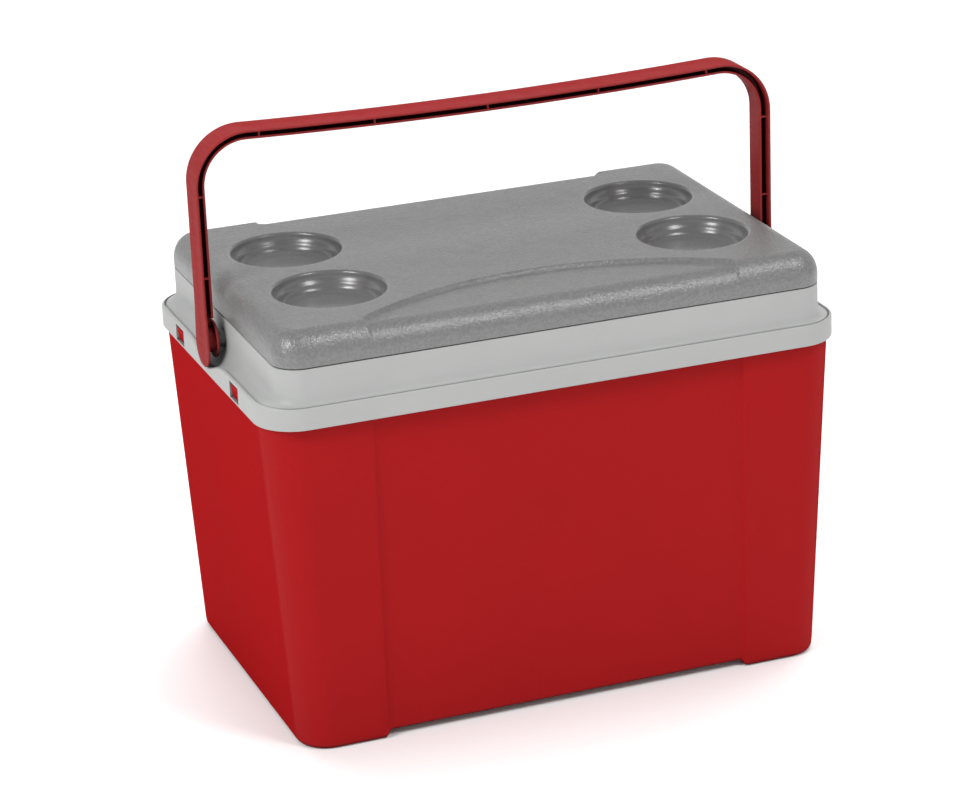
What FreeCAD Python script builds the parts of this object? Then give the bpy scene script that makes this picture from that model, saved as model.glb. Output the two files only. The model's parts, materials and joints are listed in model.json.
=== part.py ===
"""Picnic cooler chest: tapered outer shell, rim collar, liner, insulation, lift-off lid and swing handle.

Millimetres, +Z up. The origin is the centre of the footprint, on the surface the chest stands on.
X runs along the length, so the handle swings about an axis parallel to X.
"""
import FreeCAD, Part
import math
import os

import Sketcher
from FreeCAD import Placement, Rotation, Vector

os.makedirs("parts", exist_ok=True)

doc = FreeCAD.newDocument("cooler")
sheet = doc.addObject("Spreadsheet::Sheet", "Dimensions")

# Driving dimensions. "half" sizes are measured from the centre planes, "corner" sizes are radii in plan.
DRIVING = [
    ("wall", 2.4),
    ("gap", 0.3),
    # outer shell: a rounded box that widens upwards
    ("base_half_length", 212.4),
    ("base_half_width", 141.5),
    ("rim_half_length", 227.1),
    ("rim_half_width", 142.4),
    ("base_corner", 25),
    ("rim_corner", 26),
    ("shell_height", 270),
    ("panel_half_length", 146),
    ("panel_depth", 2.5),
    ("foot_height", 4.5),
    ("foot_bevel", 2),
    # snap hooks on the shell's ends, and the windows in the collar that they show through
    ("snap_offset", 71),
    ("snap_half_width", 7.5),
    ("snap_low", 261.4),
    ("snap_high", 272.4),
    ("snap_face", 229.4),
    ("window_half_width", 10.5),
    ("window_low", 260.4),
    ("window_high", 273.4),
    # rim collar
    ("lip_half_length", 230),
    ("lip_half_width", 149.3),
    ("lip_corner", 33),
    ("lip_bottom", 258.6),
    ("ledge_height", 275.9),
    ("band_half_length", 216.2),
    ("band_half_width", 144.2),
    ("band_corner", 21),
    ("band_top", 303.2),
    ("shoulder_round", 4),
    ("lip_round", 2),
    ("seat_half_length", 208),
    ("seat_half_width", 136),
    ("seat_corner", 16),
    ("seat_depth", 3.8),
    ("seat_opening_half_length", 198),
    ("seat_opening_half_width", 125),
    ("seat_opening_corner", 22),
    ("pocket_radius", 23.4),
    ("pocket_depth", 8.6),
    # inner liner
    ("liner_wall", 2),
    ("mouth_half_length", 195),
    ("mouth_half_width", 122),
    ("mouth_corner", 20),
    ("floor_half_length", 188),
    ("floor_half_width", 116),
    ("floor_corner", 18),
    ("floor_height", 24),
    ("floor_bevel", 5),
    # lid
    ("lid_height", 26),
    ("lid_round", 15),
    ("arch_half_length", 147),
    ("arch_back", 77.5),
    ("arch_radius", 249),
    ("arch_depth", 3),
    ("cup_offset_length", 146.6),
    ("cup_offset_width", 52.5),
    ("cup_radius", 42),
    ("cup_step_radius", 37.5),
    ("cup_step_depth", 8),
    ("cup_depth", 15),
    ("cup_rim_round", 2.8),
    ("cup_step_round", 2),
    ("plug_half_length", 193.5),
    ("plug_half_width", 120.5),
    ("plug_corner", 18.5),
    ("plug_depth", 20),
    # handle and its pivots
    ("pivot_height", 286),
    ("boss_radius", 7),
    ("boss_end", 229.8),
    ("eye_clearance", 0.05),
    ("eye_wall", 3),
    ("flange_radius", 14.5),
    ("flange_thickness", 2.2),
    ("arm_outer", 232.4),
    ("handle_top", 446.4),
    ("handle_corner", 41),
    ("bar_radius", 4500),
    ("handle_depth", 8.1),
    ("strap_half_width", 13.15),
    ("strap_thickness", 2),
    ("inner_strap_width", 18.8),
    ("web_thickness", 2.2),
    ("inner_strap_end", 305),
    ("tip_radius", 16.4),
    ("tip_height", 281.5),
    ("rib_half_thickness", 0.8),
    ("rib_spacing", 90),
    ("rib_low_height", 336),
    ("rib_high_height", 399),
]
for row, (alias, value) in enumerate(DRIVING, start=1):
    sheet.set("A%d" % row, alias)
    sheet.set("B%d" % row, str(value))
    sheet.setAlias("B%d" % row, alias)
doc.recompute()


# ---- small helpers -------------------------------------------------------------------------------------

def number(formula):
    """The present value of a formula: aliases and plain numbers joined by + and -."""
    total = 0.0
    sign = 1
    for word in formula.split():
        if word in "+-":
            sign = -1 if word == "-" else 1
        elif word[0].isdigit():
            total += sign * float(word)
        else:
            total += sign * float(sheet.get(word))
    return total


def bind(item, prop, formula):
    """Binds a property to a formula of aliases and plain numbers joined by + and -."""
    words = []
    for word in formula.split():
        plain = word in "+-" or word[0].isdigit()
        words.append(word if plain else "Dimensions." + word)
    if words[0] == "-":
        words.insert(0, "0")
    item.setExpression(prop, " ".join(words))


def new_body(name):
    body = doc.addObject("PartDesign::Body", name)
    body.Label = name
    return body


def new_sketch(body, name, plane="XY_Plane", offset=None):
    """A sketch on one of the body's origin planes, lifted along that plane's normal by a formula."""
    sketch = body.newObject("Sketcher::SketchObject", name)
    base = [item for item in body.Origin.OriginFeatures if item.Role == plane][0]
    sketch.AttachmentSupport = (base, [""])
    sketch.MapMode = "FlatFace"
    if offset:
        bind(sketch, ".AttachmentOffset.Base.z", offset)
    return sketch


def dimension(sketch, name, formula, kind, *where):
    """A named driving dimension, bound to its formula."""
    index = sketch.addConstraint(Sketcher.Constraint(kind, *where, number(formula)))
    sketch.renameConstraint(index, name)
    bind(sketch, "Constraints." + name, formula)


def rounded_rectangle(sketch, half_length, half_width, corner, tag=""):
    """Four sides and four tangent corner arcs, centred on the sketch's origin."""
    a, b, r = number(half_length), number(half_width), number(corner)
    first = sketch.GeometryCount
    sides = [((-a + r, -b), (a - r, -b)), ((a, -b + r), (a, b - r)),
             ((a - r, b), (-a + r, b)), ((-a, b - r), (-a, -b + r))]
    centres = [(a - r, -b + r), (a - r, b - r), (-a + r, b - r), (-a + r, -b + r)]
    for turn, (side, centre) in enumerate(zip(sides, centres)):
        start = Vector(side[0][0], side[0][1], 0)
        end = Vector(side[1][0], side[1][1], 0)
        sketch.addGeometry(Part.LineSegment(start, end))
        circle = Part.Circle(Vector(centre[0], centre[1], 0), Vector(0, 0, 1), r)
        low = math.radians(-90 + 90 * turn)
        sketch.addGeometry(Part.ArcOfCircle(circle, low, low + math.pi / 2))
    for turn in range(4):
        side = first + 2 * turn
        arc = side + 1
        following = first + (2 * turn + 2) % 8
        sketch.addConstraint(Sketcher.Constraint("Tangent", side, 2, arc, 1))
        sketch.addConstraint(Sketcher.Constraint("Tangent", arc, 2, following, 1))
    sketch.addConstraint(Sketcher.Constraint("Horizontal", first))
    sketch.addConstraint(Sketcher.Constraint("Vertical", first + 2))
    sketch.addConstraint(Sketcher.Constraint("Horizontal", first + 4))
    sketch.addConstraint(Sketcher.Constraint("Vertical", first + 6))
    for arc in (first + 3, first + 5, first + 7):
        sketch.addConstraint(Sketcher.Constraint("Equal", first + 1, arc))
    sketch.addConstraint(Sketcher.Constraint("Symmetric", first + 1, 3, first + 5, 3, -1, 1))
    dimension(sketch, "half_length" + tag, half_length, "DistanceX", -1, 1, first + 2, 1)
    dimension(sketch, "half_width" + tag, half_width, "DistanceY", -1, 1, first + 4, 1)
    dimension(sketch, "corner" + tag, corner, "Radius", first + 1)


def pad(body, sketch, name, length, both_ways=False):
    feature = body.newObject("PartDesign::Pad", name)
    feature.Profile = sketch
    bind(feature, "Length", length)
    if both_ways:
        feature.SideType = "Symmetric"
    sketch.Visibility = False
    return feature


def moved_in(outline, inset):
    """An outline with the same inset added to each of its sizes, such as " - wall" to move it inwards."""
    return tuple(part + inset for part in outline)


def plate(body, name, height, thickness, outer, inner=None):
    """A flat plate or frame: a padded rounded rectangle with an optional rounded opening."""
    sketch = new_sketch(body, name + "_outline", offset=height)
    rounded_rectangle(sketch, *outer)
    if inner:
        rounded_rectangle(sketch, *inner, tag="_inner")
    return pad(body, sketch, name, thickness)


def tapered(name, low, low_outline, high, high_outline, bevel=None):
    """A body lofted straight between two rounded rectangles, with an optional bevel round its lower edge."""
    body = new_body(name)
    levels = [(name + "_bottom", low, low_outline), (name + "_top", high, high_outline)]
    if bevel:
        levels.insert(0, (name + "_bevel", low, moved_in(low_outline, " - " + bevel)))
        levels[1] = (name + "_bottom", low + " + " + bevel, low_outline)
    sketches = []
    for label, height, outline in levels:
        sketch = new_sketch(body, label, offset=height)
        rounded_rectangle(sketch, *outline)
        sketches.append(sketch)
    loft = body.newObject("PartDesign::AdditiveLoft", name + "_loft")
    loft.Profile = sketches[0]
    loft.Sections = [(sketch, [""]) for sketch in sketches[1:]]
    loft.Ruled = True
    return body


def box(name, corner, sides):
    """A Part::Box whose lowest corner and three side lengths are formulas."""
    item = doc.addObject("Part::Box", name)
    for side, formula in zip(("Length", "Width", "Height"), sides):
        bind(item, side, formula)
    for axis, formula in zip("xyz", corner):
        bind(item, ".Placement.Base." + axis, formula)
    return item


def cylinder_along_x(name, start, length, radius):
    """A Part::Cylinder on the handle's pivot axis, from a starting X towards +X."""
    item = doc.addObject("Part::Cylinder", name)
    item.Placement = Placement(Vector(0, 0, 0), Rotation(Vector(0, 1, 0), 90))
    bind(item, "Radius", radius)
    bind(item, "Height", length)
    bind(item, ".Placement.Base.x", start)
    bind(item, ".Placement.Base.z", "pivot_height")
    return item


def both_ends(item):
    """The item and its mirror image at the other end of the chest."""
    mirror = doc.addObject("Part::Mirroring", item.Name + "_other_end")
    mirror.Source = item
    mirror.Normal = Vector(1, 0, 0)
    return [item, mirror]


def both_sides(item):
    """The item and its mirror image at the back of the chest."""
    mirror = doc.addObject("Part::Mirroring", item.Name + "_back")
    mirror.Source = item
    mirror.Normal = Vector(0, 1, 0)
    return [item, mirror]


def cut(name, base, tool):
    item = doc.addObject("Part::Cut", name)
    item.Base = base
    item.Tool = tool
    item.Label = name
    return item


def join(name, *pieces):
    item = doc.addObject("Part::MultiFuse", name)
    item.Shapes = list(pieces)
    item.Refine = True
    item.Label = name
    return item


def edges_where(shape, test):
    """The names of the edges whose every end and middle point passes the test."""
    names = []
    for index, edge in enumerate(shape.Edges, start=1):
        middle = edge.valueAt((edge.FirstParameter + edge.LastParameter) / 2)
        points = [vertex.Point for vertex in edge.Vertexes] + [middle]
        if all(test(point) for point in points):
            names.append("Edge%d" % index)
    return names


def round_edges(body, name, radius, test):
    doc.recompute()
    tip = body.Tip
    feature = body.newObject("PartDesign::Fillet", name)
    names = edges_where(tip.Shape, test)
    if not names:
        raise RuntimeError(name + " finds no edges")
    feature.Base = (tip, names)
    bind(feature, "Radius", radius)
    doc.recompute()
    return feature


def near(value, formula, slack=0.01):
    return abs(value - number(formula)) < slack


# ---- outer shell ---------------------------------------------------------------------------------------

def shell_form(name, inset):
    """The box's form moved inwards by an inset.

    Its front and back panels are sunk and its base is lifted between the feet.
    """
    rise = inset.replace("-", "+")
    low = "foot_height - foot_height" + rise
    base = moved_in(("base_half_length", "base_half_width", "base_corner"), inset)
    rim = moved_in(("rim_half_length", "rim_half_width", "rim_corner"), inset)
    full = tapered(name + "_full", low, base, "shell_height", rim, bevel="foot_bevel")
    sunk_base = (base[0],) + moved_in(base[1:], " - panel_depth")
    sunk_rim = (rim[0],) + moved_in(rim[1:], " - panel_depth")
    middle = tapered(name + "_middle", "foot_height" + rise, sunk_base, "shell_height", sunk_rim,
                     bevel="foot_bevel")
    span = box(name + "_span", ("- panel_half_length" + inset, "- lip_half_width", low + " - wall"),
               ("panel_half_length + panel_half_length" + rise + rise, "lip_half_width + lip_half_width",
                "shell_height + wall"))
    return cut(name + "_form", full, cut(name + "_relief", span, middle))


def pocket_relief(name, margin):
    """Room round the collar's two handle pockets."""
    start = "lip_half_length - pocket_depth - wall - gap"
    radius = "pocket_radius + wall" + margin
    return both_ends(cylinder_along_x(name, start, "pocket_depth + wall + wall", radius))


def snap_hook(name):
    """A wedge on the shell's rim, narrow at the top so that the collar slides over it."""
    body = new_body(name)
    sketch = new_sketch(body, name + "_side", plane="XZ_Plane")
    inner, face = number("rim_half_length - wall"), number("snap_face")
    low, high = number("snap_low"), number("snap_high")
    lead = number("wall")
    outline = [(inner, low), (face, low), (face, high - 2 * lead), (inner + lead, high), (inner, high)]
    points = [Vector(x, z, 0) for x, z in outline]
    for turn, point in enumerate(points):
        sketch.addGeometry(Part.LineSegment(point, points[(turn + 1) % len(points)]))
        if turn:
            sketch.addConstraint(Sketcher.Constraint("Coincident", turn - 1, 2, turn, 1))
    sketch.addConstraint(Sketcher.Constraint("Coincident", len(points) - 1, 2, 0, 1))
    dimension(sketch, "inner", "rim_half_length - wall", "DistanceX", -1, 1, 0, 1)
    dimension(sketch, "low", "snap_low", "DistanceY", -1, 1, 0, 1)
    dimension(sketch, "face", "snap_face", "DistanceX", -1, 1, 1, 1)
    dimension(sketch, "lead_start", "snap_high - wall - wall", "DistanceY", -1, 1, 2, 1)
    dimension(sketch, "lead_end", "rim_half_length", "DistanceX", -1, 1, 3, 1)
    dimension(sketch, "high", "snap_high", "DistanceY", -1, 1, 3, 1)
    sketch.addConstraint(Sketcher.Constraint("Horizontal", 0))
    sketch.addConstraint(Sketcher.Constraint("Vertical", 1))
    sketch.addConstraint(Sketcher.Constraint("Horizontal", 3))
    sketch.addConstraint(Sketcher.Constraint("Vertical", 4))
    pad(body, sketch, name + "_pad", "snap_half_width + snap_half_width", both_ways=True)
    bind(body, ".Placement.Base.y", "snap_offset")
    return body


hooks = [mirrored for hook in both_sides(snap_hook("snap_hook")) for mirrored in both_ends(hook)]
shell_walls = cut("shell_walls", shell_form("shell", ""), shell_form("cavity", " - wall"))
notched = cut("shell_notched", shell_walls, join("shell_notches", *pocket_relief("shell_notch", " + gap")))
outer_shell = join("outer_shell", notched, *hooks)


# ---- rim collar ----------------------------------------------------------------------------------------

lip = ("lip_half_length", "lip_half_width", "lip_corner")
band = ("band_half_length", "band_half_width", "band_corner")
seat = ("seat_half_length", "seat_half_width", "seat_corner")
opening = ("seat_opening_half_length", "seat_opening_half_width", "seat_opening_corner")


collar_frame = new_body("collar_frame")
plate(collar_frame, "lip_wall", "lip_bottom", "ledge_height - lip_bottom", lip, moved_in(lip, " - wall"))
plate(collar_frame, "ledge", "ledge_height - wall", "wall", lip, moved_in(band, " - wall"))
plate(collar_frame, "band_wall", "ledge_height - wall", "band_top - ledge_height + wall", band,
      moved_in(band, " - wall"))
plate(collar_frame, "rim", "band_top - wall", "wall", band, moved_in(seat, " - wall"))
plate(collar_frame, "seat_wall", "band_top - seat_depth - wall", "seat_depth + wall", seat,
      moved_in(seat, " - wall"))
plate(collar_frame, "seat", "band_top - seat_depth - wall", "wall", seat, opening)


def on_ledge(point, outline):
    """Whether a point at the ledge's level lies on this outline, not inside it."""
    inside_length = abs(point.x) < number(outline[0]) - number(outline[2]) / 2
    inside_width = abs(point.y) < number(outline[1]) - number(outline[2]) / 2
    return near(point.z, "ledge_height") and not (inside_length and inside_width)


round_edges(collar_frame, "lip_edge", "lip_round",
            lambda point: on_ledge(point, lip) and (abs(point.x) > number("band_half_length") + 1
                                                    or abs(point.y) > number("band_half_width") + 1))

round_edges(collar_frame, "shoulder", "shoulder_round",
            lambda point: on_ledge(point, band) and abs(point.x) < number("band_half_length") + 1
            and abs(point.y) < number("band_half_width") + 1)

lip_block = new_body("lip_block")
plate(lip_block, "lip_block_plate", "lip_bottom", "ledge_height - lip_bottom", moved_in(lip, " - gap"))
pocket_start = "lip_half_length - pocket_depth"
pocket_cups = [doc.addObject("Part::MultiCommon", "pocket_cup_%d" % side) for side in (1, 2)]
blanks = both_ends(cylinder_along_x("pocket_blank", pocket_start + " - wall", "pocket_depth + wall",
                                    "pocket_radius + wall"))
for cup, blank in zip(pocket_cups, blanks):
    cup.Shapes = [blank, lip_block]
pocket_cuts = both_ends(cylinder_along_x("pocket_cut", pocket_start, "pocket_depth + wall",
                                         "pocket_radius"))
window = box("window", ("lip_half_length - wall - gap", "snap_offset - window_half_width", "window_low"),
             ("wall + gap + gap", "window_half_width + window_half_width", "window_high - window_low"))
windows = [mirrored for side in both_sides(window) for mirrored in both_ends(side)]
bosses = both_ends(cylinder_along_x("pivot_boss", "band_half_length - wall",
                                    "boss_end - band_half_length + wall", "boss_radius"))
collar_solid = join("collar_solid", collar_frame, *pocket_cups)
collar_open = cut("collar_open", collar_solid, join("collar_cuts", *pocket_cuts, *windows))
rim_collar = join("rim_collar", collar_open, *bosses)


# ---- inner liner ---------------------------------------------------------------------------------------

def liner_form(name, outset):
    """The tub's form: its inside, or with an outset its outside."""
    floor = moved_in(("floor_half_length", "floor_half_width", "floor_corner"), outset)
    mouth = moved_in(("mouth_half_length", "mouth_half_width", "mouth_corner"), outset)
    return tapered(name, "floor_height" + outset.replace("+", "-"), floor,
                   "band_top - seat_depth + liner_wall", mouth, bevel="floor_bevel")


liner_blank = liner_form("liner_blank", " + liner_wall")
plate(liner_blank, "flange", "band_top - seat_depth", "liner_wall", moved_in(seat, " - wall - gap"))
liner_inside = liner_form("liner_inside", "")
inner_liner = cut("inner_liner", liner_blank, liner_inside)


# ---- insulation between shell and liner ----------------------------------------------------------------

neck_outline = ("band_half_length - wall - gap", "rim_half_width - panel_depth - wall - gap",
                "band_corner - wall - gap")
foam_top = new_body("foam_top")
plate(foam_top, "foam_neck", "shell_height - wall", "wall + wall", neck_outline)
plate(foam_top, "foam_shoulder", "shell_height + gap",
      "band_top - seat_depth - wall - gap - shell_height - gap", moved_in(band, " - wall - gap"))
foam_block = join("foam_block", shell_form("foam", " - wall - gap"), foam_top)
foam_cuts = join("foam_cuts", liner_form("foam_hollow", " + liner_wall + gap"),
                 *pocket_relief("foam_notch", " + gap"))
body_foam = cut("body_foam", foam_block, foam_cuts)


# ---- lid -----------------------------------------------------------------------------------------------

def arch_sketch(body, name, height, outset):
    """The finger recess in plan: an arc across the lid's front edge, closed well outside the lid."""
    sketch = new_sketch(body, name, offset=height)
    half = number("arch_half_length" + outset)
    radius = number("arch_radius" + outset)
    centre = number("arch_back + arch_radius")
    outside = number("lip_half_width")
    angle = math.asin(half / radius)
    front = centre - radius * math.cos(angle)
    circle = Part.Circle(Vector(0, -centre, 0), Vector(0, 0, 1), radius)
    sketch.addGeometry(Part.ArcOfCircle(circle, math.pi / 2 - angle, math.pi / 2 + angle))
    corners = [Vector(-half, -front, 0), Vector(-half, -outside, 0), Vector(half, -outside, 0),
               Vector(half, -front, 0)]
    for turn in range(3):
        sketch.addGeometry(Part.LineSegment(corners[turn], corners[turn + 1]))
    for turn in range(4):
        sketch.addConstraint(Sketcher.Constraint("Coincident", turn, 2, (turn + 1) % 4, 1))
    sketch.addConstraint(Sketcher.Constraint("Vertical", 3))
    sketch.addConstraint(Sketcher.Constraint("Symmetric", 1, 1, 3, 2, -2))
    sketch.addConstraint(Sketcher.Constraint("Symmetric", 1, 2, 3, 1, -2))
    dimension(sketch, "half_length", "arch_half_length" + outset, "DistanceX", -1, 1, 3, 2)
    dimension(sketch, "outside", "lip_half_width", "DistanceY", 2, 2, -1, 1)
    dimension(sketch, "centre", "arch_back + arch_radius", "DistanceY", 0, 3, -1, 1)
    dimension(sketch, "radius", "arch_radius" + outset, "Radius", 0)
    return sketch


def lid_form(name, inset):
    """The lid's form moved inwards by an inset: rounded top edges and an arched recess front and back."""
    outset = inset.replace("-", "+")
    low_top = "band_top + lid_height - arch_depth" + inset
    high = new_body(name + "_high")
    plate(high, name + "_high_plate", "band_top", "lid_height" + inset, moved_in(band, inset))
    round_edges(high, name + "_high_round", "lid_round" + inset,
                lambda point: near(point.z, "band_top + lid_height" + inset))
    low = new_body(name + "_low")
    plate(low, name + "_low_plate", "band_top", "lid_height - arch_depth" + inset, moved_in(band, inset))
    round_edges(low, name + "_low_round", "lid_round" + inset, lambda point: near(point.z, low_top))
    arch = new_body(name + "_arch")
    plan = arch_sketch(arch, name + "_arch_plan", "band_top", outset)
    pad(arch, plan, name + "_arch_pad", "lid_height + wall")
    stepped = cut(name + "_stepped", high, join(name + "_arches", *both_sides(arch)))
    return join(name + "_form", stepped, low)


def turned_profile(name, points):
    """A body turned about its own Z axis from a closed profile of (radius, height) formulas."""
    body = new_body(name)
    sketch = new_sketch(body, name + "_profile", plane="XZ_Plane")
    places = [Vector(number(radius), number(height), 0) for radius, height in points]
    count = len(places)
    for turn in range(count):
        sketch.addGeometry(Part.LineSegment(places[turn], places[(turn + 1) % count]))
    for turn in range(count):
        sketch.addConstraint(Sketcher.Constraint("Coincident", turn, 2, (turn + 1) % count, 1))
    for turn, (radius, height) in enumerate(points):
        dimension(sketch, "radius_%d" % turn, radius, "DistanceX", -1, 1, turn, 1)
        dimension(sketch, "height_%d" % turn, height, "DistanceY", -1, 1, turn, 1)
    turned = body.newObject("PartDesign::Revolution", name + "_turned")
    turned.Profile = sketch
    turned.ReferenceAxis = (sketch, ["V_Axis"])
    turned.Angle = 360
    return body


LID_TOP = "band_top + lid_height"


def cup_form(name, outset, top):
    """The stepped round space of a cup recess, or with an outset the outside of its wall."""
    low = outset.replace("+", "-")
    step = LID_TOP + " - cup_step_depth" + low
    floor = LID_TOP + " - cup_depth" + low
    return turned_profile(name, [("0", floor), ("cup_step_radius" + outset, floor),
                                 ("cup_step_radius" + outset, step), ("cup_radius" + outset, step),
                                 ("cup_radius" + outset, top), ("0", top)])


def at_each_cup(item):
    """Four copies of the item, one over each cup centre."""
    copies = []
    for side_x in ("- ", "+ "):
        for side_y in ("- ", "+ "):
            link = doc.addObject("Part::Feature", item.Name + "_%d" % len(copies))
            copies.append((link, "0 " + side_x + "cup_offset_length", "0 " + side_y + "cup_offset_width"))
    doc.recompute()
    for link, place_x, place_y in copies:
        link.Shape = item.Shape
        link.Placement = Placement(Vector(number(place_x), number(place_y), 0), Rotation())
    return [link for link, _, _ in copies]


cup_walls = cup_form("cup_wall", " + wall", LID_TOP + " - gap")
cup_space = cup_form("cup_space", "", LID_TOP + " + wall")
round_edges(cup_space, "cup_step_round_edge", "cup_step_round",
            lambda point: near(point.z, LID_TOP + " - cup_step_depth")
            and near(math.hypot(point.x, point.y), "cup_step_radius"))
lid_shell = cut("lid_shell", lid_form("lid", ""), lid_form("lid_inside", " - wall"))
lid_with_cups = join("lid_with_cups", lid_shell, *at_each_cup(cup_walls))
lid_cut = cut("lid_cut", lid_with_cups, join("cup_spaces", *at_each_cup(cup_space)))
lid_cover = doc.addObject("Part::Fillet", "lid_cover")
lid_cover.Base = lid_cut
doc.recompute()


def on_cup_rim(point):
    """Whether a point lies on the sharp rim of one of the four cup recesses."""
    across = math.hypot(abs(point.x) - number("cup_offset_length"), abs(point.y) - number("cup_offset_width"))
    return near(point.z, LID_TOP) and near(across, "cup_radius")


rim_round = number("cup_rim_round")
rim_edges = [int(name[len("Edge"):]) for name in edges_where(lid_cut.Shape, on_cup_rim)]
lid_cover.Edges = [(edge, rim_round, rim_round) for edge in rim_edges]

plug = ("plug_half_length", "plug_half_width", "plug_corner")
lid_pan = new_body("lid_pan")
plate(lid_pan, "pan_flange", "band_top", "liner_wall", moved_in(band, " - wall"))
plate(lid_pan, "plug_block", "band_top - plug_depth", "plug_depth + liner_wall", plug)
round_edges(lid_pan, "plug_edge", "liner_wall", lambda point: near(point.z, "band_top - plug_depth"))
plug_space = new_body("plug_space")
plate(plug_space, "plug_space_plate", "band_top - plug_depth + liner_wall", "plug_depth",
      moved_in(plug, " - liner_wall"))
lid_base = cut("lid_base", lid_pan, plug_space)

lid_foam = new_body("lid_foam")
plate(lid_foam, "slab", "band_top - plug_depth + liner_wall + gap",
      "plug_depth + lid_height - cup_depth - wall - liner_wall - gap - gap",
      moved_in(plug, " - liner_wall - gap"))


# ---- swing handle --------------------------------------------------------------------------------------

def bail_boundary(sketch, inset, end, tag):
    """One long line of the handle: up an arm, round a corner, along the sagging bar and down the other arm.

    inset is how far it lies inside the handle's outer face. Gives the index of its first piece.
    """
    first = sketch.GeometryCount
    arm, left_arm = first, first + 4
    right_corner, bar, left_corner = first + 1, first + 2, first + 3
    arm_x, low = number("arm_outer" + inset), number(end)
    corner_radius = number("handle_corner" + inset)
    corner_x, corner_z = number("arm_outer - handle_corner"), number("handle_top - handle_corner")
    reach = number("bar_radius + handle_corner")
    lean = math.asin(corner_x / reach)
    bar_z = corner_z + reach * math.cos(lean)
    up = Vector(0, 0, 1)
    sketch.addGeometry(Part.LineSegment(Vector(arm_x, low, 0), Vector(arm_x, corner_z, 0)))
    sketch.addGeometry(Part.ArcOfCircle(Part.Circle(Vector(corner_x, corner_z, 0), up, corner_radius),
                                        0, math.pi / 2 + lean))
    bar_circle = Part.Circle(Vector(0, bar_z, 0), up, number("bar_radius" + inset.replace("-", "+")))
    sketch.addGeometry(Part.ArcOfCircle(bar_circle, -math.pi / 2 - lean, -math.pi / 2 + lean))
    sketch.addGeometry(Part.ArcOfCircle(Part.Circle(Vector(-corner_x, corner_z, 0), up, corner_radius),
                                        math.pi / 2 - lean, math.pi))
    sketch.addGeometry(Part.LineSegment(Vector(-arm_x, corner_z, 0), Vector(-arm_x, low, 0)))
    sketch.addConstraint(Sketcher.Constraint("Tangent", arm, 2, right_corner, 1))
    sketch.addConstraint(Sketcher.Constraint("Tangent", right_corner, 2, bar, 2))
    sketch.addConstraint(Sketcher.Constraint("Tangent", bar, 1, left_corner, 1))
    sketch.addConstraint(Sketcher.Constraint("Tangent", left_corner, 2, left_arm, 1))
    sketch.addConstraint(Sketcher.Constraint("Vertical", arm))
    sketch.addConstraint(Sketcher.Constraint("Vertical", left_arm))
    sketch.addConstraint(Sketcher.Constraint("Equal", right_corner, left_corner))
    sketch.addConstraint(Sketcher.Constraint("Symmetric", arm, 1, left_arm, 2, -2))
    sketch.addConstraint(Sketcher.Constraint("Horizontal", right_corner, 3, left_corner, 3))
    dimension(sketch, tag + "_arm", "arm_outer" + inset, "DistanceX", -1, 1, arm, 1)
    dimension(sketch, tag + "_end", end, "DistanceY", -1, 1, arm, 1)
    dimension(sketch, tag + "_corner", "handle_corner" + inset, "Radius", right_corner)
    dimension(sketch, tag + "_corner_height", "handle_top - handle_corner", "DistanceY", -1, 1,
              right_corner, 3)
    dimension(sketch, tag + "_bar", "bar_radius" + inset.replace("-", "+"), "Radius", bar)
    return first


def bail_band(name, outer, inner, width, end):
    """A flat strap round the whole handle, between two insets from its outer face."""
    body = new_body(name)
    sketch = new_sketch(body, name + "_side", plane="XZ_Plane")
    outside = bail_boundary(sketch, outer, end, "outside")
    inside = bail_boundary(sketch, inner, end, "inside")
    for corner in ((0, 1), (4, 2)):
        piece, point = corner
        side = 1 if piece == 0 else -1
        start = Vector(side * number("arm_outer" + outer), number(end), 0)
        finish = Vector(side * number("arm_outer" + inner), number(end), 0)
        closing = sketch.addGeometry(Part.LineSegment(start, finish))
        sketch.addConstraint(Sketcher.Constraint("Coincident", closing, 1, outside + piece, point))
        sketch.addConstraint(Sketcher.Constraint("Coincident", closing, 2, inside + piece, point))
    pad(body, sketch, name + "_pad", width, both_ways=True)
    return body


def arm_tip():
    """The rounded, slightly wider end of the outer strap that covers the pivot."""
    body = new_body("arm_tip")
    sketch = new_sketch(body, "arm_tip_face", plane="YZ_Plane", offset="arm_outer - strap_thickness")
    radius, centre = number("tip_radius"), number("tip_height")
    half, top = number("strap_half_width"), number("inner_strap_end")
    circle = Part.Circle(Vector(0, centre, 0), Vector(0, 0, 1), radius)
    sketch.addGeometry(Part.ArcOfCircle(circle, math.pi, 2 * math.pi))
    corners = [Vector(radius, centre, 0), Vector(half, top, 0),
               Vector(-half, top, 0), Vector(-radius, centre, 0)]
    for turn in range(3):
        sketch.addGeometry(Part.LineSegment(corners[turn], corners[turn + 1]))
    for turn in range(4):
        sketch.addConstraint(Sketcher.Constraint("Coincident", turn, 2, (turn + 1) % 4, 1))
    sketch.addConstraint(Sketcher.Constraint("Symmetric", 0, 1, 0, 2, -2))
    sketch.addConstraint(Sketcher.Constraint("Symmetric", 1, 2, 3, 1, -2))
    dimension(sketch, "radius", "tip_radius", "DistanceX", -1, 1, 0, 2)
    dimension(sketch, "centre", "tip_height", "DistanceY", -1, 1, 0, 3)
    dimension(sketch, "ends", "tip_height", "DistanceY", -1, 1, 0, 2)
    dimension(sketch, "half", "strap_half_width", "DistanceX", -1, 1, 2, 1)
    dimension(sketch, "top", "inner_strap_end", "DistanceY", -1, 1, 2, 1)
    pad(body, sketch, "arm_tip_pad", "strap_thickness")
    return body


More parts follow.
